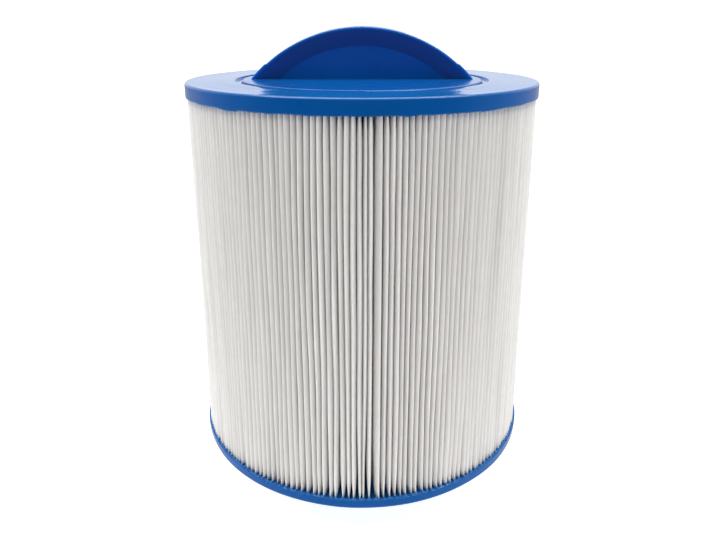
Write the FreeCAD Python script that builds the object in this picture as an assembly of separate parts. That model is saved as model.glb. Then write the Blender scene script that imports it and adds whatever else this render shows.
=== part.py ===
import FreeCAD, Part
import cmath
import math
import os

from FreeCAD import Vector

# A pleated filter cartridge for a spa: a star-folded polyester sheet potted between two cast
# polyurethane end caps, with a half-moon lifting handle cast into the top cap and a threaded
# nipple cast into the bottom cap. Water goes in through the pleats, through the holes of the
# core tube, and out through the nipple's bore.
# Frame: millimetres, +Z up, origin at the centre of the bottom cap's underside, which is the
# face that lands on the standpipe. The nipple hangs below it. The handle lies along X.

# Overall sizes
CAP_RADIUS = 76.0
CAP_TOP = 162.5
TOP_RIM_HEIGHT = 6.0
BOTTOM_RIM_HEIGHT = 4.2
TOP_RIM_BOTTOM = CAP_TOP - TOP_RIM_HEIGHT
TOP_EDGE_ROUND = 1.0
TOP_LOWER_EDGE_ROUND = 0.3
BOTTOM_EDGE_ROUND = 1.5
LEDGE_ROUND = 0.3

# Pleated sheet
PLEAT_COUNT = 206
PLEAT_TIP_RADIUS = 75.2
PLEAT_ROOT_RADIUS = 31.1
SHEET_THICKNESS = 0.4
TIP_FOLD = 0.75
ROOT_FOLD = 0.24
SHEET_BOTTOM = 1.2
SHEET_TOP = 159.0
SHEET_HEIGHT = SHEET_TOP - SHEET_BOTTOM

# The lap seam, where the sheet's two free ends meet inside one extra-wide pleat
SEAM_PLEAT_WIDTH = 1.7
SEAM_TIP_FOLD = 1.55
SEAM_LAP = 10.0
SEAM_GLUE = 0.3
SEAM_DIRECTION = math.radians(-86.0)

# Core tube
CORE_OUTER_RADIUS = 30.5
CORE_INNER_RADIUS = 28.0
CORE_BOTTOM = 3.0
CORE_HOLE_RADIUS = 3.25
CORE_HOLES_AROUND = 14
CORE_HOLE_ROWS = 12
CORE_FIRST_ROW = 14.0
CORE_ROW_PITCH = 11.7

# Lift handle: base disc, half-moon grip, core spigot and anchor lugs
DISC_RADIUS = 52.0
DISC_THICKNESS = 1.8
DISC_EDGE_ROUND = 0.4
DISC_BOTTOM = CAP_TOP - DISC_THICKNESS
GROOVE_RADIUS = 55.0
GROOVE_DEPTH = 0.9
GROOVE_ROUND = 0.35
GRIP_HEIGHT = 22.1
GRIP_HALF_LENGTH = 47.8
GRIP_HALF_THICKNESS = 6.5
GRIP_BAND_WIDTH = 8.2
GRIP_EDGE_ROUND = 0.9
GRIP_FOOT_HEIGHT = 6.3
GRIP_FOOT_PROUD = 0.4
GRIP_SUNK = 1.3
WEB_HALF_THICKNESS = 1.75
WEB_CORNER_ROUND = 0.8
GRIP_RADIUS = (GRIP_HALF_LENGTH ** 2 + GRIP_HEIGHT ** 2) / (2 * GRIP_HEIGHT)
GRIP_CENTRE_Z = CAP_TOP + GRIP_HEIGHT - GRIP_RADIUS
SPIGOT_WALL = 2.4
SPIGOT_BOTTOM = 150.0
SPIGOT_RIB_THICKNESS = 2.0
LUG_INNER_RADIUS = 40.0
LUG_OUTER_RADIUS = 44.0
LUG_UNDERCUT = 0.8
LUG_DEPTH = 1.3
LUG_SLOTS = 6
LUG_SLOT_WIDTH = 8.0

# Threaded nipple
NIPPLE_BORE_RADIUS = 19.0
NIPPLE_ROOT_RADIUS = 21.8
NIPPLE_LENGTH = 25.0
NIPPLE_END_CHAMFER = 0.8
PILOT_RADIUS = 21.3
PILOT_LENGTH = 5.0
THREAD_PITCH = 5.08
THREAD_DEPTH = 2.0
THREAD_CREST_WIDTH = 1.2
THREAD_FLANK_ANGLE = math.radians(30.0)
THREAD_SUNK = 0.3
THREAD_TOP_GAP = 2.5
FLANGE_RADIUS = 30.5
FLANGE_BOTTOM = 0.8
SLEEVE_TOP = 12.0
SLEEVE_MOUTH_RADIUS = 25.8
SLEEVE_MOUTH_ROUND = 0.8
BORE_TOP = 4.0

# A length that passes right through the part, for cutting tools
THROUGH = 4 * CAP_RADIUS

UP = Vector(0, 0, 1)
ALONG_Y = Vector(0, 1, 0)
ORIGIN = Vector(0, 0, 0)


def unit(value):
    return value / abs(value)


def flat(point, z=0.0):
    """A complex number as a point in a horizontal plane."""
    return Vector(point.real, point.imag, z)


def in_radial_plane(point):
    """A complex number (radius, height) as a point in the XZ plane."""
    return Vector(point.real, 0, point.imag)


def rounded_face(corners, place):
    """A closed outline of (u, v) or (u, v, round) corners, each rounded as asked, as a face."""
    points = [complex(c[0], c[1]) for c in corners]
    rounds = [c[2] if len(c) > 2 else 0.0 for c in corners]
    spans = []
    for i, point in enumerate(points):
        back = unit(points[i - 1] - point)
        ahead = unit(points[(i + 1) % len(points)] - point)
        if rounds[i] == 0.0:
            spans.append((point, None, point))
            continue
        half = abs(cmath.phase(ahead / back)) / 2
        setback = rounds[i] / math.tan(half)
        middle = point + unit(back + ahead) * (rounds[i] / math.sin(half) - rounds[i])
        spans.append((point + back * setback, middle, point + ahead * setback))
    edges = []
    for i, (start, middle, end) in enumerate(spans):
        following = spans[(i + 1) % len(spans)][0]
        if middle is not None:
            edges.append(Part.Arc(place(start), place(middle), place(end)).toShape())
        edges.append(Part.makeLine(place(end), place(following)))
    return Part.Face(Part.Wire(edges))


def turned(corners):
    """The solid of revolution about Z of an outline of (radius, height) corners."""
    return rounded_face(corners, in_radial_plane).revolve(ORIGIN, UP, 360)


def tangent_direction(start, end):
    """The direction of the line that leaves one signed circle and runs into the next.

    A circle is (centre, signed radius): positive where the path turns left round it.
    """
    gap = end[0] - start[0]
    turn = end[1] - start[1]
    length = math.sqrt(abs(gap) ** 2 - turn ** 2)
    return gap / complex(length, turn)


def touch(circle, direction, offset):
    """Where a path that runs offset to the left of the circle's own path touches it."""
    return circle[0] - (circle[1] - offset) * direction * 1j


def sheet_folds():
    """The fold circles of the sheet, from the root just after the seam round to the seam's tip."""
    pitch = 2 * math.pi / (PLEAT_COUNT - 1 + SEAM_PLEAT_WIDTH)
    tip_centre = PLEAT_TIP_RADIUS - TIP_FOLD - SHEET_THICKNESS / 2
    root_centre = PLEAT_ROOT_RADIUS + ROOT_FOLD + SHEET_THICKNESS / 2
    seam_centre = PLEAT_TIP_RADIUS - SEAM_TIP_FOLD - SHEET_THICKNESS / 2
    first = SEAM_DIRECTION + pitch * SEAM_PLEAT_WIDTH / 2
    folds = [(cmath.rect(root_centre, first), -ROOT_FOLD)]
    for i in range(1, PLEAT_COUNT):
        folds.append((cmath.rect(tip_centre, first + (i - 0.5) * pitch), TIP_FOLD))
        folds.append((cmath.rect(root_centre, first + i * pitch), -ROOT_FOLD))
    folds.append((cmath.rect(seam_centre, SEAM_DIRECTION), SEAM_TIP_FOLD))
    return folds


def seam_lines(folds):
    """The under layer's first line and the top layer's last line, as (start circle, direction)."""
    seam_tip = folds[-1]
    under = (seam_tip[0], SEAM_TIP_FOLD - SHEET_THICKNESS - SEAM_GLUE)
    under_line = (under, tangent_direction(under, folds[0]))
    top_line = (seam_tip, tangent_direction(seam_tip, folds[0]))
    return under_line, top_line


def sheet_side(folds, offset):
    """One side of the folded sheet, as edges and its two end points."""
    (under, under_way), (seam_tip, lap_way) = seam_lines(folds)
    edges = []
    here = touch(under, under_way, offset)
    start = here
    way_in = under_way
    for i, fold in enumerate(folds):
        way_out = tangent_direction(fold, folds[i + 1]) if i + 1 < len(folds) else lap_way
        enter = touch(fold, way_in, offset)
        leave = touch(fold, way_out, offset)
        middle = fold[0] + unit(fold[0]) * (fold[1] - offset)
        edges.append(Part.makeLine(flat(here), flat(enter)))
        edges.append(Part.Arc(flat(enter), flat(middle), flat(leave)).toShape())
        here = leave
        way_in = way_out
    end = here + lap_way * SEAM_LAP
    edges.append(Part.makeLine(flat(here), flat(end)))
    return edges, start, end


def pleated_media():
    """One continuous folded sheet, its free ends lapped inside the seam pleat."""
    folds = sheet_folds()
    left, left_start, left_end = sheet_side(folds, SHEET_THICKNESS / 2)
    right, right_start, right_end = sheet_side(folds, -SHEET_THICKNESS / 2)
    ends = [
        Part.makeLine(flat(left_end), flat(right_end)),
        Part.makeLine(flat(right_start), flat(left_start)),
    ]
    face = Part.Face(Part.Wire(Part.__sortEdges__(left + right + ends)))
    face.translate(Vector(0, 0, SHEET_BOTTOM))
    return face.extrude(UP * SHEET_HEIGHT)


def media_seam_strip():
    """The strip of hot-melt adhesive between the two lapped ends of the sheet."""
    half = SHEET_THICKNESS / 2
    (under, under_way), (seam_tip, lap_way) = seam_lines(sheet_folds())
    outer = touch(seam_tip, lap_way, half)
    inner = touch(under, under_way, -half)
    corners = [outer, outer + lap_way * SEAM_LAP, inner + under_way * SEAM_LAP, inner]
    face = Part.Face(Part.makePolygon([flat(c, SHEET_BOTTOM) for c in corners + corners[:1]]))
    return face.extrude(UP * SHEET_HEIGHT)


def core_tube():
    """The plain tube that holds the pleats' roots, with staggered rows of round water holes."""
    height = SHEET_TOP - CORE_BOTTOM
    at = Vector(0, 0, CORE_BOTTOM)
    tube = Part.makeCylinder(CORE_OUTER_RADIUS, height, at)
    tube = tube.cut(Part.makeCylinder(CORE_INNER_RADIUS, height, at))
    step = 2 * math.pi / CORE_HOLES_AROUND
    holes = []
    for row in range(CORE_HOLE_ROWS):
        z = CORE_FIRST_ROW + row * CORE_ROW_PITCH
        for i in range(CORE_HOLES_AROUND):
            angle = (i + (row % 2) / 2) * step
            outward = Vector(math.cos(angle), math.sin(angle), 0)
            holes.append(Part.makeCylinder(CORE_HOLE_RADIUS, THROUGH, UP * z, outward))
    return tube.cut(Part.makeCompound(holes))


def grip_arc(extra):
    """The grip's arched section swept round its own centre: a thin web that flares to a broad rim."""
    outer = GRIP_RADIUS + extra
    inner = outer - GRIP_BAND_WIDTH
    root = CAP_TOP - GRIP_CENTRE_Z - GRIP_SUNK
    corners = [
        (WEB_HALF_THICKNESS, root),
        (WEB_HALF_THICKNESS, inner, WEB_CORNER_ROUND),
        (GRIP_HALF_THICKNESS, outer, GRIP_EDGE_ROUND),
        (-GRIP_HALF_THICKNESS, outer, GRIP_EDGE_ROUND),
        (-WEB_HALF_THICKNESS, inner, WEB_CORNER_ROUND),
        (-WEB_HALF_THICKNESS, root),
    ]
    centre = Vector(0, 0, GRIP_CENTRE_Z)
    section = rounded_face(corners, lambda p: Vector(0, p.real, GRIP_CENTRE_Z + p.imag))
    sweep = 2 * math.degrees(math.acos(root / outer))
    section.rotate(centre, ALONG_Y, -sweep / 2)
    return section.revolve(centre, ALONG_Y, sweep)


def slab(low, high):
    """A wide block between two heights, used to keep part of a shape."""
    return Part.makeBox(THROUGH, THROUGH, high - low, Vector(-THROUGH / 2, -THROUGH / 2, low))


def half_moon_grip():
    """The grip, sunk a little into the disc, with two feet standing slightly proud of the arc."""
    arc = grip_arc(0.0).common(slab(CAP_TOP - GRIP_SUNK, CAP_TOP + 2 * GRIP_HEIGHT))
    feet = grip_arc(GRIP_FOOT_PROUD).common(slab(CAP_TOP - GRIP_SUNK, CAP_TOP + GRIP_FOOT_HEIGHT))
    return arc.fuse(feet)


def anchor_lugs():
    """Dovetail lugs under the disc that lock it into the cast cap."""
    ring = turned([
        (LUG_INNER_RADIUS + LUG_UNDERCUT, DISC_BOTTOM),
        (LUG_INNER_RADIUS, DISC_BOTTOM - LUG_DEPTH),
        (LUG_OUTER_RADIUS, DISC_BOTTOM - LUG_DEPTH),
        (LUG_OUTER_RADIUS - LUG_UNDERCUT, DISC_BOTTOM),
    ])
    slots = []
    for i in range(LUG_SLOTS):
        bar = Part.makeBox(THROUGH, LUG_SLOT_WIDTH, 2 * LUG_DEPTH)
        bar.translate(Vector(-THROUGH / 2, -LUG_SLOT_WIDTH / 2, DISC_BOTTOM - 2 * LUG_DEPTH))
        bar.rotate(ORIGIN, UP, 180.0 * i / LUG_SLOTS)
        slots.append(bar)
    return ring.cut(Part.makeCompound(slots))


def core_spigot():
    """The ring under the disc that centres the core tube, stiffened by a cross of two ribs."""
    height = DISC_BOTTOM - SPIGOT_BOTTOM
    at = Vector(0, 0, SPIGOT_BOTTOM)
    ring = Part.makeCylinder(CORE_INNER_RADIUS, height, at)
    ring = ring.cut(Part.makeCylinder(CORE_INNER_RADIUS - SPIGOT_WALL, height, at))
    reach = CORE_INNER_RADIUS - SPIGOT_WALL / 2
    rib = Part.makeBox(2 * reach, SPIGOT_RIB_THICKNESS, height)
    rib.translate(Vector(-reach, -SPIGOT_RIB_THICKNESS / 2, SPIGOT_BOTTOM))
    cross = rib.copy()
    cross.rotate(ORIGIN, UP, 90)
    return ring.multiFuse([rib, cross])


def lift_handle():
    """The moulded handle: disc, half-moon grip, anchor lugs and core spigot in one piece."""
    disc = turned([
        (0, DISC_BOTTOM),
        (DISC_RADIUS, DISC_BOTTOM),
        (DISC_RADIUS, CAP_TOP, DISC_EDGE_ROUND),
        (0, CAP_TOP),
    ])
    return disc.multiFuse([half_moon_grip(), anchor_lugs(), core_spigot()]).removeSplitter()


def top_end_cap(handle, core, media, strip):
    """The cast top cap: a ring of resin that has set round the sheet, the core and the handle."""
    body = turned([
        (CORE_INNER_RADIUS, TOP_RIM_BOTTOM),
        (CAP_RADIUS, TOP_RIM_BOTTOM, TOP_LOWER_EDGE_ROUND),
        (CAP_RADIUS, CAP_TOP, TOP_EDGE_ROUND),
        (GROOVE_RADIUS, CAP_TOP, GROOVE_ROUND),
        (GROOVE_RADIUS, CAP_TOP - GROOVE_DEPTH, GROOVE_ROUND),
        (CORE_INNER_RADIUS, CAP_TOP - GROOVE_DEPTH),
    ])
    return body.cut([handle, core, media, strip])


def bottom_end_cap(media, strip):
    """The cast bottom cap: a flat ring round the nipple's flange, the core and the sheet."""
    body = turned([
        (NIPPLE_ROOT_RADIUS, 0),
        (CAP_RADIUS, 0, BOTTOM_EDGE_ROUND),
        (CAP_RADIUS, BOTTOM_RIM_HEIGHT, LEDGE_ROUND),
        (FLANGE_RADIUS, BOTTOM_RIM_HEIGHT),
        (FLANGE_RADIUS, FLANGE_BOTTOM),
        (NIPPLE_ROOT_RADIUS, FLANGE_BOTTOM),
    ])
    return body.cut([media, strip])


def nipple_thread():
    """One coarse helical ridge, sunk slightly into the nipple's wall."""
    crest = THREAD_CREST_WIDTH / 2
    root = crest + (THREAD_DEPTH + THREAD_SUNK) * math.tan(THREAD_FLANK_ANGLE)
    low = -NIPPLE_LENGTH + PILOT_LENGTH
    high = -THREAD_TOP_GAP
    inner = NIPPLE_ROOT_RADIUS - THREAD_SUNK
    outer = NIPPLE_ROOT_RADIUS + THREAD_DEPTH
    start = low - THREAD_PITCH / 2
    turns_height = high - low + THREAD_PITCH
    path = Part.makeHelix(THREAD_PITCH, turns_height, NIPPLE_ROOT_RADIUS)
    path.translate(UP * start)
    corners = [
        Vector(inner, 0, start - root),
        Vector(outer, 0, start - crest),
        Vector(outer, 0, start + crest),
        Vector(inner, 0, start + root),
    ]
    section = Part.makePolygon(corners + corners[:1])
    ridge = Part.Wire(path.Edges).makePipeShell([section], True, True)
    run_out = THREAD_DEPTH + THREAD_SUNK
    envelope = turned([
        (inner - THREAD_SUNK, low),
        (NIPPLE_ROOT_RADIUS, low),
        (NIPPLE_ROOT_RADIUS + run_out, low + run_out),
        (NIPPLE_ROOT_RADIUS + run_out, high - run_out),
        (NIPPLE_ROOT_RADIUS, high),
        (inner - THREAD_SUNK, high),
    ])
    return ridge.common(envelope)


def threaded_nipple():
    """The moulded nipple: pilot, thread, potting flange, and the sleeve that centres the core."""
    body = turned([
        (NIPPLE_BORE_RADIUS, -NIPPLE_LENGTH),
        (PILOT_RADIUS - NIPPLE_END_CHAMFER, -NIPPLE_LENGTH),
        (PILOT_RADIUS, -NIPPLE_LENGTH + NIPPLE_END_CHAMFER),
        (PILOT_RADIUS, -NIPPLE_LENGTH + PILOT_LENGTH),
        (NIPPLE_ROOT_RADIUS, -NIPPLE_LENGTH + PILOT_LENGTH),
        (NIPPLE_ROOT_RADIUS, FLANGE_BOTTOM),
        (FLANGE_RADIUS, FLANGE_BOTTOM),
        (FLANGE_RADIUS, CORE_BOTTOM),
        (CORE_INNER_RADIUS, CORE_BOTTOM),
        (CORE_INNER_RADIUS, SLEEVE_TOP, SLEEVE_MOUTH_ROUND),
        (SLEEVE_MOUTH_RADIUS, SLEEVE_TOP),
        (NIPPLE_BORE_RADIUS, BORE_TOP),
    ])
    return body.fuse(nipple_thread()).removeSplitter()


def build():
    media = pleated_media()
    strip = media_seam_strip()
    core = core_tube()
    handle = lift_handle()
    return {
        "pleated_media": media,
        "media_seam_strip": strip,
        "core_tube": core,
        "lift_handle": handle,
        "top_end_cap": top_end_cap(handle, core, media, strip),
        "bottom_end_cap": bottom_end_cap(media, strip),
        "threaded_nipple": threaded_nipple(),
    }


os.makedirs("parts", exist_ok=True)
for name, shape in build().items():
    volume = round(shape.Volume / 1000, 3)
    print(name, "solids", len(shape.Solids), "valid", shape.isValid(), "cm3", volume)
    shape.exportStep("parts/" + name + ".step")
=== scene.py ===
import math

import bpy
import numpy as np
from mathutils import Matrix, Vector


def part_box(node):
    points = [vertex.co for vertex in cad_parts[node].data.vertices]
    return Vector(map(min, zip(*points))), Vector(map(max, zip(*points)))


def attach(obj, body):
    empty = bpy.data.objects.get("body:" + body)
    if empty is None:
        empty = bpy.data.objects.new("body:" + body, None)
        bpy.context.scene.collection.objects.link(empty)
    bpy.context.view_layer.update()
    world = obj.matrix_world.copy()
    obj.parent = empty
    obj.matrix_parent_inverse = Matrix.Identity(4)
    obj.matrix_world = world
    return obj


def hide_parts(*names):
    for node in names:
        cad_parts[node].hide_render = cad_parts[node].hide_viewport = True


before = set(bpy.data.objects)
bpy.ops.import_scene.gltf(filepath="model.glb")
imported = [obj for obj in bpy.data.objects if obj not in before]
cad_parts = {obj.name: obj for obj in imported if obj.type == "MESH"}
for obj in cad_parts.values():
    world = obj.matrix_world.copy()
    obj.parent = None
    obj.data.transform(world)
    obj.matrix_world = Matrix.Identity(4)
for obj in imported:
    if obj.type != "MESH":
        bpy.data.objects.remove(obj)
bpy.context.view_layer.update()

# All lengths are in metres, in the frame's own axes: +Z up, the handle along X, the front at -Y.
MM = 0.001
PACK_SEED = 23
CAST_SEED = 71

# Places taken from the frame
CAP_LOW, CAP_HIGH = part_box("top_end_cap")
BASE_LOW, BASE_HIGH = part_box("bottom_end_cap")
MEDIA_LOW, MEDIA_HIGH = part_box("pleated_media")
CAP_RADIUS = CAP_HIGH.x
TIP_RADIUS = MEDIA_HIGH.x
CORE_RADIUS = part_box("core_tube")[1].x
RIM_BOTTOM = CAP_LOW.z
CAP_TOP = CAP_HIGH.z
LEDGE = BASE_HIGH.z
TABLE_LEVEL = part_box("threaded_nipple")[0].z

# The pleated sheet
PLEATS = 206
THICKNESS = 0.4 * MM
RIDGE_FILL = 0.93
ARCH_DEPTH = 2.3 * MM
RIDGE_SHARPNESS = 0.72
CREST_ROUND = 0.2
SMALLEST_FOLD = 0.23 * MM
TIP_INSET = 0.02 * MM
TIP_CLEARANCE = 0.06 * MM
ROOT_FOLD = 0.24 * MM
ROOT_CLEARANCE = 0.6 * MM

# The wide seam pleat, where the sheet's two free ends lap with adhesive between them
SEAM_ANGLE = math.radians(-85.6)
SEAM_WIDTH = 1.7
SEAM_TIP_FOLD = 1.12 * MM
SEAM_SMALLEST_FOLD = 0.46 * MM
SEAM_ARCH_DEPTH = 3.2 * MM
SEAM_LEAN = 0.3
SEAM_SHIFT = 0.15 * MM
SEAM_CALM = 0.4
SEAM_GLUE = 0.1 * MM
SEAM_LAP = 10.0 * MM
WIDTHS_BESIDE_SEAM = (1.0, 0.82, 0.86)

# How uneven the pleats are
WIDTH_SPREAD = 0.05
WIDTH_LIMITS = (0.8, 1.25)
SWAY = 0.16 * MM
WOBBLE = 0.06 * MM
STRAY = 0.22 * MM
STRAY_HEIGHT = 60 * MM
DEPTH_SPREAD = 0.22 * MM
PLUMP_SPREAD = 0.035
LEAN_SPREAD = 0.07

# How far the resin pinches the folds in, as a share of their full size, and how far from the resin
FOOT_GRIP = (0.36, 0.52)
FOOT_REACH = (9.0 * MM, 15.0 * MM)
HEAD_GRIP = (0.64, 0.93)
HEAD_REACH = (6.0 * MM, 12.0 * MM)
SEAM_FOOT_GRIP = 0.42
SEAM_FOOT_REACH = 30 * MM
SEAM_HEAD_GRIP = 0.6
SEAM_HEAD_REACH = 16 * MM

# The sheet's mesh
LEVELS = 44
LEVEL_CROWDING = 0.13
FIELD_ROWS = 64
TIP_POINTS = 11
TIP_CROWDING = 1.5
ROOT_POINTS = 3

# The cast caps
DISC_EDGE = 51.95 * MM
DISC_THICKNESS = 1.8 * MM
GROOVE_RADIUS = 55.0 * MM
GROOVE_DEPTH = 0.9 * MM
TOP_ROUND = 1.05 * MM
BOTTOM_ROUND = 1.5 * MM
LIP_ROUND = 0.35 * MM
GUTTER_ROUND = 0.2 * MM
GUTTER_DEPTH = 0.4 * MM
GUTTER_OUTSIDE = 74.9 * MM
GUTTER_INSIDE = 74.2 * MM
RIM_INSIDE = 72.0 * MM
NIPPLE_HOLE = 21.85 * MM
FLANGE_SEAT = 30.6 * MM
FLANGE_LEVEL = 0.75 * MM
CORE_CLEARANCE = 0.05 * MM
RIM_STEP = 0.22 * MM
FACE_STEP = 1.6 * MM
ROUND_POINTS = 7

# How uneven the caps are. A run of resin is (degrees round the cap, width in radians, drop)
RING_SAMPLES = 720
WALL_WAVE = 0.05 * MM
WALL_INSET = 0.06 * MM
WALL_FADE = 4 * MM
FACE_WAVE = 0.05 * MM
FACE_INSET = 0.08 * MM
FACE_INSIDE = 58 * MM
FACE_FADE = 5 * MM
FACE_DEPTH = 2 * MM
EDGE_WAVE = 0.09 * MM
LIP_WAVE = 0.05 * MM
LIP_DEPTH = 0.8 * MM
RUNS = [(-129, 0.055, 0.5 * MM), (-172, 0.05, 0.55 * MM), (-78, 0.03, 0.2 * MM), (-20, 0.04, 0.35 * MM)]
BACK_RUNS = 5
BACK_RUN_WIDTH = 0.03
BACK_RUN_DROPS = (0.2 * MM, 0.5 * MM)
RUN_HEIGHT = 2.2 * MM
RUN_INSIDE = 74 * MM

# Resin drawn along the tips at the sheet's head and foot, how far it spreads, and the pits beside it
HEAD_RESIN = 0.35 * MM
HEAD_RESIN_SPREAD = 0.3 * MM
HEAD_RESIN_HEIGHT = 0.2 * MM
FOOT_RESIN = 0.5 * MM
FOOT_RESIN_SPREAD = 0.25 * MM
PIT_SHARE = 0.6
PIT_SIZES = (0.25 * MM, 0.4 * MM)
PIT_DEPTH = 0.7 * MM
PIT_RADIUS = 75.45 * MM
PIT_ASIDE = 0.65 * MM

# Where the blue plastic changes, by how far its surface faces up: the first two bring in a painted tone for
# the light on upward faces and a painted shade on downward faces, the rest its gloss. GRAZING is by how far
# it turns from view
PAINTED_TOP_FACING = (0.6, 0.95)
PAINTED_UNDER_FACING = (-0.45, -0.2)
OFF_UPRIGHT = (0.2, 0.5)
OFF_LEVEL = (0.88, 0.97)
GRAZING = (0.1, 0.7)
EDGE_GLOSS = 0.5

# The sheet's colours: its mottled base at the folds' crests, a painted shade on its flanks deeper below the
# crests, and a bluish painted shade at its head and foot near the caps
SHEET_MOTTLE_COLOURS = ((0.86, 0.845, 0.825, 1), (0.91, 0.9, 0.885, 1))
PAINTED_FLANK_SHADE = (0.79, 0.775, 0.76, 1)
FLANK_SHADE_BAND = (TIP_RADIUS - 1.4 * MM, TIP_RADIUS - 0.3 * MM)
# Painted shade, tinted blue by the caps, on the sheet at its head and foot
PAINTED_CAP_SHADE = (0.25, 0.33, 0.46, 1)
CAP_SHADE_STRENGTH = 0.6
HEAD_SHADE_HEIGHTS = (RIM_BOTTOM - 1.6 * MM, RIM_BOTTOM + 2.6 * MM)
FOOT_SHADE_HEIGHTS = (LEDGE + 0.6 * MM, LEDGE + 3.2 * MM)
CAP_SHADE_RAGGEDNESS = 2.5 * MM

# The studio. The tent's shades run from the direction against its axis, at 0, to along its axis, at 1
TENT_AXIS = (0.0, 0.88, 0.47)
TENT_SHADES = [(0.0, 0.2), (0.16, 0.29), (0.36, 0.52), (0.5, 0.76), (0.7, 0.97)]
TABLE_SIZE = 12.0
TABLE_GLOW = 0.85
TABLE_FILL = 0.85
TABLE_FILL_REACH = 0.5
TABLE_MIRRORED = 0.2
KEY_PLACE = (0.9, 0.0, 0.45)
KEY_SIZE = (0.8, 1.0)
KEY_POWER = 3.0
OVERHEAD_PLACE = (0.0, 0.05, 1.0)
OVERHEAD_SIZE = (1.4, 0.5)
OVERHEAD_POWER = 10.3
CAMERA_PLACE = (0, -285.1 * MM, 186.7 * MM)
CAMERA_TILT = math.radians(90 - 16.03)
LENS = 31.71
LENS_SHIFT = (-0.0021, -0.0928)


# ---------------------------------------------------------------------------------------------
# Small helpers
# ---------------------------------------------------------------------------------------------

def make_mesh(name, points, quads):
    """A smooth-shaded mesh object from an array of points and an array of four-sided faces."""
    mesh = bpy.data.meshes.new(name)
    mesh.vertices.add(len(points))
    mesh.vertices.foreach_set("co", np.ascontiguousarray(points, dtype=np.float32).ravel())
    mesh.loops.add(4 * len(quads))
    mesh.loops.foreach_set("vertex_index", np.ascontiguousarray(quads, dtype=np.int32).ravel())
    mesh.polygons.add(len(quads))
    mesh.polygons.foreach_set("loop_start", np.arange(0, 4 * len(quads), 4, dtype=np.int32))
    mesh.update(calc_edges=True)
    mesh.validate()
    mesh.polygons.foreach_set("use_smooth", np.ones(len(mesh.polygons), dtype=bool))
    obj = bpy.data.objects.new(name, mesh)
    bpy.context.scene.collection.objects.link(obj)
    return obj


def smooth_field(rng, around, up, around_blur, up_blur):
    """Random values that vary smoothly round a ring (which closes) and up it, with spread 1."""
    noise = rng.standard_normal((around, 3 * up))
    wave_around = np.fft.fftfreq(around)[:, None] * around_blur
    wave_up = np.fft.fftfreq(3 * up)[None, :] * up_blur
    kernel = np.exp(-2 * math.pi ** 2 * (wave_around ** 2 + wave_up ** 2))
    field = np.fft.ifft2(np.fft.fft2(noise) * kernel).real[:, up:2 * up]
    return field / field.std()


def ease(value):
    """0 to 1 with a soft start and a soft stop."""
    clipped = np.clip(value, 0.0, 1.0)
    return clipped * clipped * (3 - 2 * clipped)


# ---------------------------------------------------------------------------------------------
# Pleated sheet
# ---------------------------------------------------------------------------------------------

def pleat_layout(rng):
    """The angle of each pleat's middle and each pleat's angular width. Pleat 0 is the seam pleat."""
    drift = smooth_field(rng, PLEATS, 8, 5.0, 8.0)[:, 0]
    width = np.clip(1.0 + WIDTH_SPREAD * (rng.standard_normal(PLEATS) + drift), *WIDTH_LIMITS)
    width[0] = SEAM_WIDTH
    width[-len(WIDTHS_BESIDE_SEAM):] = WIDTHS_BESIDE_SEAM
    width *= 2 * math.pi / width.sum()
    edges = np.concatenate(([0.0], np.cumsum(width)))
    middles = (edges[:-1] + edges[1:]) / 2 - width[0] / 2 + SEAM_ANGLE
    return middles, width


def sheet_levels():
    """Heights of the mesh's rows: close together near both resin lines, wider between."""
    t = np.linspace(0, 1, LEVELS)
    spread = t - LEVEL_CROWDING * np.sin(2 * math.pi * t)
    return MEDIA_LOW.z + spread * (MEDIA_HIGH.z - MEDIA_LOW.z)


def uneven(rng, levels, around_blur, up_blur):
    """Smooth random values for every pleat, read at the sheet's own levels."""
    field = smooth_field(rng, PLEATS, FIELD_ROWS, around_blur, up_blur)
    rows = np.linspace(MEDIA_LOW.z, MEDIA_HIGH.z, FIELD_ROWS)
    return np.array([np.interp(levels, rows, values) for values in field])


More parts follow.
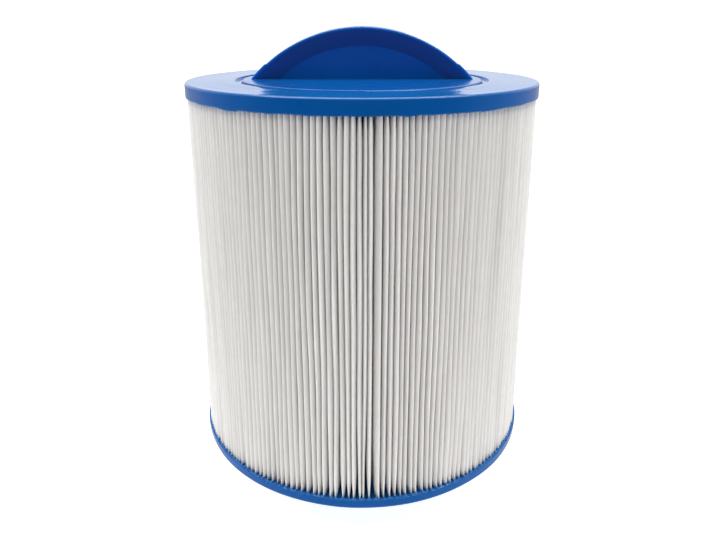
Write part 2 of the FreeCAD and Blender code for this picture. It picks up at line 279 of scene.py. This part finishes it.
class Sheet:
    """Where every fold of the irregular pleated sheet is, at every level."""

    def __init__(self):
        rng = np.random.default_rng(PACK_SEED)
        self.levels = sheet_levels()
        self.middles, self.widths = pleat_layout(rng)
        sway = uneven(rng, self.levels, 1.6, 9.0)
        wobble = uneven(rng, self.levels, 0.4, 3.5)
        plump = uneven(rng, self.levels, 0.3, 5.0)
        depth = uneven(rng, self.levels, 0.5, 8.0)
        strayed = rng.normal(0.0, STRAY, PLEATS)[:, None] * ease(1 - self.levels / STRAY_HEIGHT)
        calm = np.ones((PLEATS, 1))
        calm[0] = SEAM_CALM
        shift = (SWAY * sway + WOBBLE * wobble + strayed) * calm
        shift[0] += SEAM_SHIFT
        self.angles = self.middles[:, None] + shift / TIP_RADIUS
        self.tip_radius = TIP_RADIUS - TIP_INSET - DEPTH_SPREAD * np.abs(depth)
        self.arch = np.full((PLEATS, LEVELS), ARCH_DEPTH)
        self.arch[0] = SEAM_ARCH_DEPTH
        self.smallest = np.full((PLEATS, 1), SMALLEST_FOLD)
        self.smallest[0] = SEAM_SMALLEST_FOLD
        self.fold = self.part_neighbours(self.tip_folds(rng, plump))
        self.root_angles = self.middles + self.widths / 2
        self.lean = LEAN_SPREAD * uneven(rng, self.levels, 0.4, 8.0)
        self.lean[0] = SEAM_LEAN

    def tip_folds(self, rng, plump):
        """The radius of each outer fold: full in the middle, pinched in where resin grips it."""
        above = self.levels - LEDGE
        below = RIM_BOTTOM - self.levels
        reach = rng.uniform(*FOOT_REACH, PLEATS)[:, None]
        grip = rng.uniform(*FOOT_GRIP, PLEATS)[:, None]
        foot = grip + (1 - grip) * np.sqrt(ease(above / reach))
        reach = rng.uniform(*HEAD_REACH, PLEATS)[:, None]
        grip = rng.uniform(*HEAD_GRIP, PLEATS)[:, None]
        head = grip + (1 - grip) * ease(below / reach)
        ridge = RIDGE_FILL * self.widths[:, None] * TIP_RADIUS * (1 + PLUMP_SPREAD * plump)
        fold = ridge * foot * head / 2 - THICKNESS / 2
        seam_foot = SEAM_FOOT_GRIP + (1 - SEAM_FOOT_GRIP) * ease(above / SEAM_FOOT_REACH)
        seam_head = SEAM_HEAD_GRIP + (1 - SEAM_HEAD_GRIP) * ease(below / SEAM_HEAD_REACH)
        fold[0] = SEAM_TIP_FOLD * seam_foot * seam_head
        return np.maximum(fold, self.smallest)

    def part_neighbours(self, fold):
        """Narrows two neighbouring folds wherever they would touch."""
        ahead = (np.roll(self.angles, -1, axis=0) - self.angles) % (2 * math.pi)
        reach = np.minimum(self.tip_radius, np.roll(self.tip_radius, -1, axis=0)) - self.arch
        room = ahead * reach - THICKNESS - TIP_CLEARANCE
        ahead_share = room / (fold + np.roll(fold, -1, axis=0))
        share = np.minimum(ahead_share, np.roll(ahead_share, 1, axis=0))
        return np.maximum(fold * np.minimum(1, share), self.smallest)

    def tips_near(self, height):
        """Angles, radii and half-widths of the pleats' tips at one height."""
        k = int(np.abs(self.levels - height).argmin())
        return self.angles[:, k], self.tip_radius[:, k], self.fold[:, k] + THICKNESS / 2


def tangent(start, start_fold, end, end_fold):
    """Direction of the line that leaves one signed circle and runs into the next one."""
    gap = end - start
    turn = end_fold - start_fold
    return gap / (np.sqrt(np.abs(gap) ** 2 - turn ** 2) + 1j * turn)


def fold_arc(centre, fold, way_in, way_out, offset, count):
    """Points round a fold, for the side of the sheet that lies offset to the left of its middle."""
    turn = np.angle(way_out / way_in)
    turn = np.where(fold > 0, np.mod(turn, 2 * math.pi), -np.mod(-turn, 2 * math.pi))
    start = -(fold - offset) * 1j * way_in
    spread = np.linspace(-1, 1, count)
    spread = 0.5 + 0.5 * np.sign(spread) * np.abs(spread) ** TIP_CROWDING
    return np.array([centre + start * np.exp(1j * turn * t) for t in spread])


def pointed(arc, centre, axis, depth, lean, offset, fold):
    """Draws a round fold out into a pointed arch of the given depth, which leans towards its crest."""
    local = (arc - centre[None]) / axis[None]
    beyond = np.maximum(local.real, 0)
    aside = np.minimum(np.abs(local.imag) / (fold + offset)[None], 1)
    wedge = 1 - (np.hypot(aside, CREST_ROUND) - CREST_ROUND) / (math.hypot(1, CREST_ROUND) - CREST_ROUND)
    share = beyond / (fold + offset)[None]
    share = np.where(beyond > 0, share + RIDGE_SHARPNESS * (wedge - share), 0)
    drawn = share * (depth + offset - THICKNESS / 2)[None]
    return centre[None] + axis[None] * (local + drawn - beyond + 1j * lean[None] * drawn ** 2 / depth[None])


def sheet_sides(sheet):
    """Both sides of the sheet as complex (point along the path, level) arrays."""
    axis = np.roll(np.exp(1j * sheet.angles), -1, axis=0)
    depth = np.roll(sheet.arch, -1, axis=0)
    lean = np.roll(sheet.lean, -1, axis=0)
    tips = (np.roll(sheet.tip_radius, -1, axis=0) - depth) * axis
    tip_fold = np.roll(sheet.fold, -1, axis=0)
    root_radius = CORE_RADIUS + ROOT_CLEARANCE + ROOT_FOLD + THICKNESS / 2
    roots = (root_radius * np.exp(1j * sheet.root_angles))[:, None] + 0 * tips
    root_fold = np.full_like(tip_fold, -ROOT_FOLD)
    under = tip_fold[-1] - THICKNESS - SEAM_GLUE
    first = tangent(tips[-1], under, roots[0], root_fold[0])
    last = tangent(tips[-1], tip_fold[-1], roots[0], root_fold[0])
    rising = tangent(roots, root_fold, tips, tip_fold)
    falling = tangent(tips[:-1], tip_fold[:-1], roots[1:], root_fold[1:])
    into_roots = np.concatenate((first[None], falling))
    out_of_tips = np.concatenate((falling, last[None]))
    sides = []
    for offset in (THICKNESS / 2, -THICKNESS / 2):
        root_arcs = fold_arc(roots, root_fold, into_roots, rising, offset, ROOT_POINTS)
        tip_arcs = fold_arc(tips, tip_fold, rising, out_of_tips, offset, TIP_POINTS)
        tip_arcs = pointed(tip_arcs, tips, axis, depth, lean, -offset, tip_fold)
        arcs = np.concatenate((root_arcs, tip_arcs)).transpose(1, 0, 2).reshape(-1, LEVELS)
        begin = tips[-1] - (under - offset) * 1j * first
        end = arcs[-1] + last * SEAM_LAP
        sides.append(np.concatenate((begin[None], arcs, end[None])))
    return sides


def strip(first, second):
    """Faces between two equally long rows of point numbers."""
    return np.stack((first[:-1], first[1:], second[1:], second[:-1]), axis=-1).reshape(-1, 4)


def closed_skin(name, sheet, left, right):
    """A thin upright sheet as one closed skin: two sides, two ends, and its top and bottom edges."""
    count = len(left)
    flat = np.concatenate((left, right))
    height = np.broadcast_to(sheet.levels, flat.shape)
    points = np.stack((flat.real, flat.imag, height), axis=-1).reshape(-1, 3)
    number = np.arange(2 * count * LEVELS).reshape(2, count, LEVELS)
    a, b = number
    faces = []
    for k in range(LEVELS - 1):
        faces.append(strip(a[:, k], a[:, k + 1])[:, ::-1])
        faces.append(strip(b[:, k], b[:, k + 1]))
    faces.append(strip(a[:, 0], b[:, 0]))
    faces.append(strip(a[:, -1], b[:, -1])[:, ::-1])
    faces.append(strip(a[0], b[0])[:, ::-1])
    faces.append(strip(a[-1], b[-1]))
    return make_mesh(name, points, np.concatenate(faces))


def pleated_sheet(sheet, left, right):
    """The sheet, from the end under the seam lap right round to the end on top of it."""
    return closed_skin("pleated_sheet", sheet, left, right)


def seam_glue(sheet, left, right):
    """The strip of adhesive between the sheet's two free ends, where they lap."""
    under = right[0]
    under_way = (right[1] - right[0]) / np.abs(right[1] - right[0])
    inner = np.array([under, under + under_way * SEAM_LAP])
    return closed_skin("seam_adhesive", sheet, inner, left[-2:])


# ---------------------------------------------------------------------------------------------
# Cast end caps
# ---------------------------------------------------------------------------------------------

def longest(start, end):
    """How far apart an outline's points may be: close together on the rim, where the detail is."""
    return RIM_STEP if min(start.real, end.real) > RIM_INSIDE else FACE_STEP


def rounded_profile(corners):
    """Sampled (radius, height) outline: each corner may carry a round, and flats get further points."""
    spots = [complex(c[0], c[1]) for c in corners]
    rounds = [c[2] if len(c) > 2 else 0.0 for c in corners]
    spans = []
    for i, spot in enumerate(spots):
        back = spots[i - 1] - spot
        ahead = spots[(i + 1) % len(spots)] - spot
        back /= abs(back)
        ahead /= abs(ahead)
        if not rounds[i]:
            spans.append([spot])
            continue
        half = abs(np.angle(ahead / back)) / 2
        centre = spot + (back + ahead) / abs(back + ahead) * rounds[i] / math.sin(half)
        start = spot + back * rounds[i] / math.tan(half) - centre
        turn = np.angle((spot + ahead * rounds[i] / math.tan(half) - centre) / start)
        spans.append([centre + start * np.exp(1j * turn * t) for t in np.linspace(0, 1, ROUND_POINTS)])
    outline = []
    for i, span in enumerate(spans):
        outline.extend(span)
        start, end = span[-1], spans[(i + 1) % len(spans)][0]
        steps = max(1, math.ceil(abs(end - start) / longest(start, end)))
        ease_in = [0.5 - 0.5 * math.cos(math.pi * k / steps) for k in range(1, steps)]
        outline.extend(start + (end - start) * t for t in ease_in)
    return np.array(outline)


def ring_mesh(name, profile, around, shape):
    """A turned ring, closed on itself, after shape(radius, angle, height) has moved its points."""
    angle = np.arange(around) * 2 * math.pi / around
    radius = np.broadcast_to(profile.real[:, None], (len(profile), around)).copy()
    height = np.broadcast_to(profile.imag[:, None], (len(profile), around)).copy()
    spin = np.broadcast_to(angle[None, :], radius.shape)
    radius, height = shape(radius, spin, height)
    points = np.stack((radius * np.cos(spin), radius * np.sin(spin), height), axis=-1).reshape(-1, 3)
    here = np.arange(len(profile) * around).reshape(len(profile), around)
    up = np.roll(here, -1, axis=0)
    on = np.roll(here, -1, axis=1)
    quads = np.stack((here, on, np.roll(up, -1, axis=1), up), axis=-1).reshape(-1, 4)
    return make_mesh(name, points, quads)


def ring_noise(rng, waves, roughest):
    """Smooth periodic noise round a ring, as a function of the angle, with spread about 1."""
    pitches = np.arange(1, roughest + 1)
    sizes = rng.standard_normal((2, roughest)) / np.sqrt(waves + pitches)

    def value(angle):
        total = np.zeros_like(angle)
        for n, s, c in zip(pitches, *sizes):
            total += s * np.sin(n * angle) + c * np.cos(n * angle)
        return total

    scale = value(np.linspace(0, 2 * math.pi, RING_SAMPLES)).std()
    return lambda angle: value(angle) / scale


def nearest_tip(sheet, height, radius, angle):
    """Distance from each point to the nearest pleat tip at one height."""
    angles, reach, half_width = sheet.tips_near(height)
    order = np.argsort(np.mod(angles, 2 * math.pi))
    ring = np.mod(angles, 2 * math.pi)[order]
    ring = np.concatenate((ring[-1:] - 2 * math.pi, ring, ring[:1] + 2 * math.pi))
    pick = np.concatenate((order[-1:], order, order[:1]))
    after = np.clip(np.searchsorted(ring, angle[0]), 1, len(ring) - 1)
    nearer = np.where(angle[0] - ring[after - 1] < ring[after] - angle[0], after - 1, after)
    chosen = pick[nearer]
    aside = np.abs(angle[0] - ring[nearer])[None, :] * radius - half_width[chosen][None, :]
    beyond = radius - reach[chosen][None, :]
    return np.hypot(np.maximum(aside, 0), np.maximum(beyond, 0))


def uneven_wall(radius, angle, wall):
    """Radii after the outer wall has moved in a little, by an uneven amount."""
    outside = ease((radius - RIM_INSIDE) / WALL_FADE)
    return radius + (WALL_WAVE * wall(angle) - WALL_INSET) * outside


def top_cap(sheet):
    """The cast top cap, with the small runs that resin leaves on its lower edge."""
    rng = np.random.default_rng(CAST_SEED)
    inner = CORE_RADIUS + CORE_CLEARANCE
    profile = rounded_profile([
        (inner, RIM_BOTTOM),
        (CAP_RADIUS, RIM_BOTTOM, LIP_ROUND),
        (CAP_RADIUS, CAP_TOP, TOP_ROUND),
        (GROOVE_RADIUS, CAP_TOP, LIP_ROUND),
        (GROOVE_RADIUS, CAP_TOP - GROOVE_DEPTH, LIP_ROUND),
        (DISC_EDGE, CAP_TOP - GROOVE_DEPTH),
        (DISC_EDGE, CAP_TOP - DISC_THICKNESS),
        (inner, CAP_TOP - DISC_THICKNESS),
    ])
    edge = ring_noise(rng, 6, 60)
    wall = ring_noise(rng, 3, 24)
    face = ring_noise(rng, 2, 7)
    runs = [(math.radians(where), width, size) for where, width, size in RUNS]
    behind = rng.uniform(0, math.pi, BACK_RUNS)
    runs += [(a, BACK_RUN_WIDTH, size) for a, size in zip(behind, rng.uniform(*BACK_RUN_DROPS, BACK_RUNS))]

    def shape(radius, angle, height):
        drop = EDGE_WAVE * edge(angle)
        for where, width, size in runs:
            away = np.angle(np.exp(1j * (angle - where)))
            drop = drop + size * np.exp(-(away / width) ** 4)
        low = ease((RIM_BOTTOM + RUN_HEIGHT - height) / RUN_HEIGHT)
        lowered = height - drop * low * ease((radius - RUN_INSIDE) / MM)
        touch = np.exp(-nearest_tip(sheet, RIM_BOTTOM, radius, angle) / HEAD_RESIN_SPREAD)
        lowest = ease((RIM_BOTTOM + HEAD_RESIN_HEIGHT - height) / HEAD_RESIN_HEIGHT)
        lowered = lowered - HEAD_RESIN * touch * lowest
        crown = ease((radius - FACE_INSIDE) / FACE_FADE) * ease((CAP_RADIUS - radius) / WALL_FADE)
        crown = crown * ease((height - CAP_TOP + FACE_DEPTH) / FACE_DEPTH)
        lowered = lowered + crown * (FACE_WAVE * face(angle) - FACE_INSET)
        return uneven_wall(radius, angle, wall), lowered

    return ring_mesh("cast_top_cap", profile, 6 * PLEATS, shape)


def bottom_cap(sheet):
    """The cast bottom ring, with resin drawn up round the pleats' tips and small pits beside them."""
    rng = np.random.default_rng(CAST_SEED + 1)
    profile = rounded_profile([
        (NIPPLE_HOLE, BASE_LOW.z),
        (CAP_RADIUS, BASE_LOW.z, BOTTOM_ROUND),
        (CAP_RADIUS, LEDGE, LIP_ROUND),
        (GUTTER_OUTSIDE, LEDGE, GUTTER_ROUND),
        (GUTTER_INSIDE, LEDGE - GUTTER_DEPTH, GUTTER_ROUND),
        (RIM_INSIDE, LEDGE - GUTTER_DEPTH),
        (FLANGE_SEAT, LEDGE - GUTTER_DEPTH),
        (FLANGE_SEAT, FLANGE_LEVEL),
        (NIPPLE_HOLE, FLANGE_LEVEL),
    ])
    wall = ring_noise(rng, 3, 24)
    lip = ring_noise(rng, 5, 50)
    angles = sheet.tips_near(LEDGE)[0]
    pits = [(angles[i] + rng.choice((-1, 1)) * PIT_ASIDE / CAP_RADIUS, rng.uniform(*PIT_SIZES))
            for i in np.flatnonzero(rng.random(PLEATS) < PIT_SHARE)]

    def shape(radius, angle, height):
        on_top = ease((height - LEDGE + LIP_DEPTH) / LIP_DEPTH)
        rise = FOOT_RESIN * np.exp(-nearest_tip(sheet, LEDGE, radius, angle) / FOOT_RESIN_SPREAD)
        for where, size in pits:
            away = np.abs(np.angle(np.exp(1j * (angle[0] - where)))) * CAP_RADIUS
            near = np.flatnonzero(away < MM)
            inward = radius[:, near] - PIT_RADIUS
            rise[:, near] -= PIT_DEPTH * np.exp(-((away[near] / size) ** 2 + (inward / size) ** 2))
        raised = height + on_top * (rise + LIP_WAVE * lip(angle))
        return uneven_wall(radius, angle, wall), raised

    return ring_mesh("cast_bottom_cap", profile, 12 * PLEATS, shape)


# ---------------------------------------------------------------------------------------------
# Materials
# ---------------------------------------------------------------------------------------------

class Nodes:
    """A node tree, with short calls to add and join nodes."""

    def __init__(self, tree):
        self.tree = tree

    def add(self, kind, **values):
        """A new node, with values for its properties or, in capitals, for its inputs."""
        node = self.tree.nodes.new(kind)
        for key, value in values.items():
            if hasattr(node, key):
                setattr(node, key, value)
            else:
                node.inputs[key.replace("_", " ")].default_value = value
        return node

    def join(self, output, target, socket):
        """Joins one node's output to another node's input, which is given by its name or number."""
        self.tree.links.new(output, target.inputs[socket])

    def calc(self, operation, *terms):
        """The result of a calculation on outputs and plain numbers."""
        node = self.add("ShaderNodeMath", operation=operation)
        for i, term in enumerate(terms):
            if isinstance(term, float):
                node.inputs[i].default_value = term
            else:
                self.join(term, node, i)
        return node.outputs[0]

    def mix(self, share, first, colour):
        """A share of the given colour, mixed into the first one."""
        node = self.add("ShaderNodeMix", data_type="RGBA")
        colours = [socket for socket in node.inputs if socket.type == "RGBA"]
        self.join(share, node, "Factor")
        self.tree.links.new(first, colours[0])
        colours[1].default_value = colour
        return [socket for socket in node.outputs if socket.type == "RGBA"][0]

    def length(self, vector):
        """The length of a vector output."""
        node = self.add("ShaderNodeVectorMath", operation="LENGTH")
        self.join(vector, node, 0)
        return node.outputs["Value"]


class Surface(Nodes):
    """The node tree of a new material."""

    def __init__(self, name):
        self.material = bpy.data.materials.new(name)
        self.material.use_nodes = True
        super().__init__(self.material.node_tree)
        self.shader = self.tree.nodes["Principled BSDF"]
        self.place = self.add("ShaderNodeTexCoord").outputs["Object"]

    def colour(self, output):
        self.join(output, self.shader, "Base Color")

    def tune(self, **values):
        """Plain numbers for the shader's inputs."""
        for key, value in values.items():
            self.shader.inputs[key.replace("_", " ")].default_value = value

    def noise(self, scale, detail=3.0, roughness=0.5, stretch=None):
        """Noise in the object's own space, drawn out along the axes where stretch is below 1."""
        node = self.add("ShaderNodeTexNoise", Scale=scale, Detail=detail, Roughness=roughness)
        place = self.place
        if stretch:
            mapping = self.add("ShaderNodeMapping", Scale=stretch)
            self.join(self.place, mapping, "Vector")
            place = mapping.outputs["Vector"]
        self.join(place, node, "Vector")
        return node.outputs["Fac"]

    def ramp(self, value, low, high, start=0.3, stop=0.7):
        """The value's colour, from low to high."""
        node = self.add("ShaderNodeValToRGB")
        node.color_ramp.elements[0].position = start
        node.color_ramp.elements[0].color = low
        node.color_ramp.elements[1].position = stop
        node.color_ramp.elements[1].color = high
        self.join(value, node, "Fac")
        return node.outputs["Color"]

    def span(self, value, low, high, start=0.3, stop=0.7):
        """A number that runs from low to high while the value runs from start to stop."""
        node = self.add("ShaderNodeMapRange", From_Min=start, From_Max=stop, To_Min=low, To_Max=high)
        self.join(value, node, "Value")
        return node.outputs["Result"]

    def bump(self, height, distance, strength=1.0, after=None):
        """The normal of a surface raised by the height, on top of an earlier bump if there is one."""
        node = self.add("ShaderNodeBump", Strength=strength, Distance=distance)
        self.join(height, node, "Height")
        if after is not None:
            self.join(after, node, "Normal")
        return node.outputs["Normal"]


def blue_plastic(name, dark, light, top, under, gloss, rough, orange_peel, specks):
    """Coloured plastic: cloudy, with a painted tone for the light on upward faces and a painted shade and
    reflection on downward faces, with orange peel and small specks.

    Its gloss grows towards grazing angles and on rounded upper edges."""
    m = Surface(name)
    normal = m.add("ShaderNodeSeparateXYZ")
    m.join(m.add("ShaderNodeNewGeometry").outputs["Normal"], normal, "Vector")
    upward = normal.outputs["Z"]
    sides = m.ramp(m.noise(45.0, 4.0, 0.55), dark, light)
    # Painted shade and reflection on downward faces, then a painted tone for the light on upward faces
    sides = m.mix(m.span(upward, 1.0, 0.0, *PAINTED_UNDER_FACING), sides, under)
    m.colour(m.mix(m.span(upward, 0.0, 1.0, *PAINTED_TOP_FACING), sides, top))
    m.join(m.span(m.noise(160.0, 3.0), *rough), m.shader, "Roughness")
    m.tune(IOR=1.5)
    facing = m.add("ShaderNodeLayerWeight").outputs["Facing"]
    off_upright = m.span(upward, 0.0, EDGE_GLOSS, *OFF_UPRIGHT)
    edge = m.calc("MULTIPLY", off_upright, m.span(upward, 1.0, 0.0, *OFF_LEVEL))
    m.join(m.calc("MAXIMUM", m.span(facing, *gloss, *GRAZING), edge), m.shader, "Specular IOR Level")
    skin = m.bump(m.noise(210.0, 2.0), orange_peel)
    if specks:
        cells = m.add("ShaderNodeTexVoronoi", Scale=520.0)
        m.join(m.place, cells, "Vector")
        dots = m.span(cells.outputs["Distance"], 1.0, 0.0, 0.04, 0.2)
        patches = m.span(m.noise(150.0, 1.0), 0.0, 1.0, 0.56, 0.66)
        skin = m.bump(m.calc("MULTIPLY", dots, patches), specks, after=skin)
    m.join(skin, m.shader, "Normal")
    return m.material


def polyester_felt():
    """White spun-bonded sheet: matte, mottled, with a painted shade on its flanks below the folds' crests,
    and fine crossing fibres.

    A bluish painted shade, with a ragged edge, darkens it near both end caps."""
    m = Surface("spunbond_polyester")
    sheet_mottle = m.ramp(m.noise(260.0, 4.0, 0.6), *SHEET_MOTTLE_COLOURS)
    height = m.add("ShaderNodeSeparateXYZ")
    m.join(m.place, height, "Vector")
    level = m.add("ShaderNodeVectorMath", operation="MULTIPLY")
    m.join(m.place, level, 0)
    level.inputs[1].default_value = (1, 1, 0)
    # Painted shade: the flanks darken with depth below the crests, in place of the shade between the pleats
    painted_flank_mask = m.span(m.length(level.outputs["Vector"]), 1.0, 0.0, *FLANK_SHADE_BAND)
    with_flank_shade = m.mix(painted_flank_mask, sheet_mottle, PAINTED_FLANK_SHADE)
    streaks = m.noise(400.0, 2.0, stretch=(1.0, 1.0, 0.1))
    # Painted shade, tinted blue, near both caps, with a ragged edge
    ragged = m.calc("MULTIPLY_ADD", streaks, CAP_SHADE_RAGGEDNESS, height.outputs["Z"])
    head = m.span(ragged, 0.0, CAP_SHADE_STRENGTH, *HEAD_SHADE_HEIGHTS)
    foot = m.span(ragged, CAP_SHADE_STRENGTH, 0.0, *FOOT_SHADE_HEIGHTS)
    m.colour(m.mix(m.calc("ADD", head, foot), with_flank_shade, PAINTED_CAP_SHADE))
    m.tune(Roughness=0.85, Specular_IOR_Level=0.2, Sheen_Weight=0.15, Sheen_Roughness=0.6)
    along = m.bump(m.noise(1400.0, 3.0, 0.6, (1.0, 1.0, 0.25)), 0.04 * MM, 0.6)
    across = m.noise(1100.0, 3.0, 0.6, (0.5, 0.5, 1.6))
    m.join(m.bump(across, 0.03 * MM, 0.6, after=along), m.shader, "Normal")
    return m.material


def plain_plastic(name, dark, light, roughness):
    """Uncoloured or glue-like plastic with mottled colour and a faint grain."""
    m = Surface(name)
    m.colour(m.ramp(m.noise(120.0, 4.0), dark, light))
    m.join(m.span(m.noise(300.0, 2.0), roughness - 0.08, roughness + 0.08), m.shader, "Roughness")
    m.join(m.bump(m.noise(700.0, 2.0), 0.03 * MM), m.shader, "Normal")
    return m.material


def finish_with(obj, material):
    """Gives every material slot of a piece the same material."""
    if not obj.data.materials:
        obj.data.materials.append(material)
    for slot in obj.material_slots:
        slot.material = material


# ---------------------------------------------------------------------------------------------
# Studio
# ---------------------------------------------------------------------------------------------

def floor():
    """A plain pale table top. The camera sees it as bright as the tent. To everything else it only glows
    near the object, as a light tent lights it from below, and its mirror image is dimmer still."""
    m = Surface("white_table")
    m.colour(m.ramp(m.noise(3.0), (0.6, 0.6, 0.6, 1), (0.63, 0.63, 0.63, 1)))
    m.tune(Roughness=0.9, Specular_IOR_Level=0.0, Emission_Color=(1, 1, 1, 1))
    seen = m.add("ShaderNodeLightPath")
    near = m.span(m.length(m.place), TABLE_FILL, 0.0, 0.0, TABLE_FILL_REACH)
    dimmed = m.span(seen.outputs["Is Glossy Ray"], 1.0, TABLE_MIRRORED, 0.0, 1.0)
    glow = m.add("ShaderNodeMix", B=TABLE_GLOW)
    m.join(seen.outputs["Is Camera Ray"], glow, "Factor")
    m.join(m.calc("MULTIPLY", near, dimmed), glow, "A")
    m.join(glow.outputs["Result"], m.shader, "Emission Strength")
    corners = [(-1, -1), (1, -1), (1, 1), (-1, 1)]
    points = np.array([(TABLE_SIZE * x, TABLE_SIZE * y, TABLE_LEVEL) for x, y in corners])
    obj = make_mesh("table_top", points, np.array([[0, 1, 2, 3]]))
    finish_with(obj, m.material)


def surround():
    """A white tent, brightest above and beside the object. Only its gloss sees the bright back wall:
    every other ray finds the back as dark as the front. The camera sees plain white."""
    world = bpy.data.worlds.new("tent")
    bpy.context.scene.world = world
    world.use_nodes = True
    w = Nodes(world.node_tree)
    way = w.add("ShaderNodeSeparateXYZ")
    w.join(w.add("ShaderNodeTexCoord").outputs["Generated"], way, "Vector")
    seen = w.add("ShaderNodeLightPath")
    forward = w.calc("MULTIPLY", w.calc("ABSOLUTE", way.outputs["Y"]), -1.0)
    ahead = w.add("ShaderNodeMix")
    w.join(seen.outputs["Is Glossy Ray"], ahead, "Factor")
    w.join(forward, ahead, "A")
    w.join(way.outputs["Y"], ahead, "B")
    folded = w.add("ShaderNodeCombineXYZ")
    w.join(way.outputs["X"], folded, "X")
    w.join(ahead.outputs["Result"], folded, "Y")
    w.join(way.outputs["Z"], folded, "Z")
    facing = w.add("ShaderNodeVectorMath", operation="DOT_PRODUCT")
    facing.inputs[1].default_value = TENT_AXIS
    w.join(folded.outputs["Vector"], facing, 0)
    along_axis = w.add("ShaderNodeMapRange", From_Min=-1.0)
    w.join(facing.outputs["Value"], along_axis, "Value")
    ramp = w.add("ShaderNodeValToRGB")
    ramp.color_ramp.interpolation = "EASE"
    elements = ramp.color_ramp.elements
    elements[0].position, elements[1].position = TENT_SHADES[0][0], TENT_SHADES[-1][0]
    for position, _ in TENT_SHADES[1:-1]:
        elements.new(position)
    for element, (_, value) in zip(elements, TENT_SHADES):
        element.color = (value, value, value, 1)
    w.join(along_axis.outputs["Result"], ramp, "Fac")
    white = w.mix(seen.outputs["Is Camera Ray"], ramp.outputs["Color"], (1, 1, 1, 1))
    w.join(white, w.tree.nodes["Background"], "Color")


def area_light(name, place, size, power, mirrored=False):
    """A soft rectangular light aimed at the middle of the cartridge, seen in its gloss only if mirrored."""
    light = bpy.data.lights.new(name, "AREA")
    light.shape = "RECTANGLE"
    light.size, light.size_y = size
    light.energy = power
    obj = bpy.data.objects.new(name, light)
    aim = Vector((0, 0, CAP_TOP / 2)) - Vector(place)
    obj.matrix_world = Matrix.Translation(place) @ aim.to_track_quat("-Z", "Y").to_matrix().to_4x4()
    obj.visible_glossy = mirrored
    bpy.context.scene.collection.objects.link(obj)


def camera():
    """A short lens close to the front, looking slightly down, with the frame shifted below its axis."""
    data = bpy.data.cameras.new("camera")
    data.lens = LENS
    data.shift_x, data.shift_y = LENS_SHIFT
    data.clip_start = 0.01
    obj = bpy.data.objects.new("camera", data)
    obj.matrix_world = Matrix.Translation(CAMERA_PLACE) @ Matrix.Rotation(CAMERA_TILT, 4, "X")
    bpy.context.scene.collection.objects.link(obj)
    bpy.context.scene.camera = obj


# ---------------------------------------------------------------------------------------------
# Assembly
# ---------------------------------------------------------------------------------------------

def build():
    """Every new piece on the root body in place of its CAD node, and a material on each new piece and on
    the CAD nodes that stay.
    """
    # Painted light: the cast caps' upward faces are painted lighter, the moulded pieces' upward faces
    # darker, and the moulded pieces' downward faces get a painted shade and reflection
    cast = blue_plastic(
        "cast_resin", dark=(0.0, 0.08, 0.315, 1), light=(0.001, 0.09, 0.35, 1),
        top=(0.006, 0.125, 0.385, 1), under=(0.0, 0.08, 0.315, 1),
        gloss=(0.05, 0.36), rough=(0.06, 0.12), orange_peel=0.003 * MM, specks=0.05 * MM)
    moulded = blue_plastic(
        "moulded_plastic", dark=(0.002, 0.105, 0.45, 1), light=(0.003, 0.115, 0.48, 1),
        top=(0.002, 0.09, 0.34, 1), under=(0.03, 0.09, 0.31, 1),
        gloss=(0.12, 0.6), rough=(0.12, 0.2), orange_peel=0.0012 * MM, specks=0.0)
    glue = plain_plastic("seam_glue", (0.62, 0.58, 0.45, 1), (0.7, 0.66, 0.54, 1), 0.35)
    uncoloured = plain_plastic("core_plastic", (0.74, 0.74, 0.71, 1), (0.8, 0.8, 0.78, 1), 0.5)
    sheet = Sheet()
    left, right = sheet_sides(sheet)
    pieces = [
        (pleated_sheet(sheet, left, right), "pleated_media", "media_white", polyester_felt()),
        (seam_glue(sheet, left, right), "media_seam_strip", "seam_glue", glue),
        (top_cap(sheet), "top_end_cap", "cast_blue", cast),
        (bottom_cap(sheet), "bottom_end_cap", "cast_blue", cast),
    ]
    for obj, node, slot, material in pieces:
        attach(obj, "root")
        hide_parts(node)
        finish_with(obj, material)
    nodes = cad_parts
    finish_with(nodes["lift_handle"], moulded)
    finish_with(nodes["threaded_nipple"], moulded)
    finish_with(nodes["core_tube"], uncoloured)


build()
floor()
surround()
for side, name in ((-1, "key_left"), (1, "key_right")):
    area_light(name, (side * KEY_PLACE[0], *KEY_PLACE[1:]), KEY_SIZE, KEY_POWER)
area_light("overhead", OVERHEAD_PLACE, OVERHEAD_SIZE, OVERHEAD_POWER, mirrored=True)
camera()
bpy.context.scene.view_settings.view_transform = "Standard"
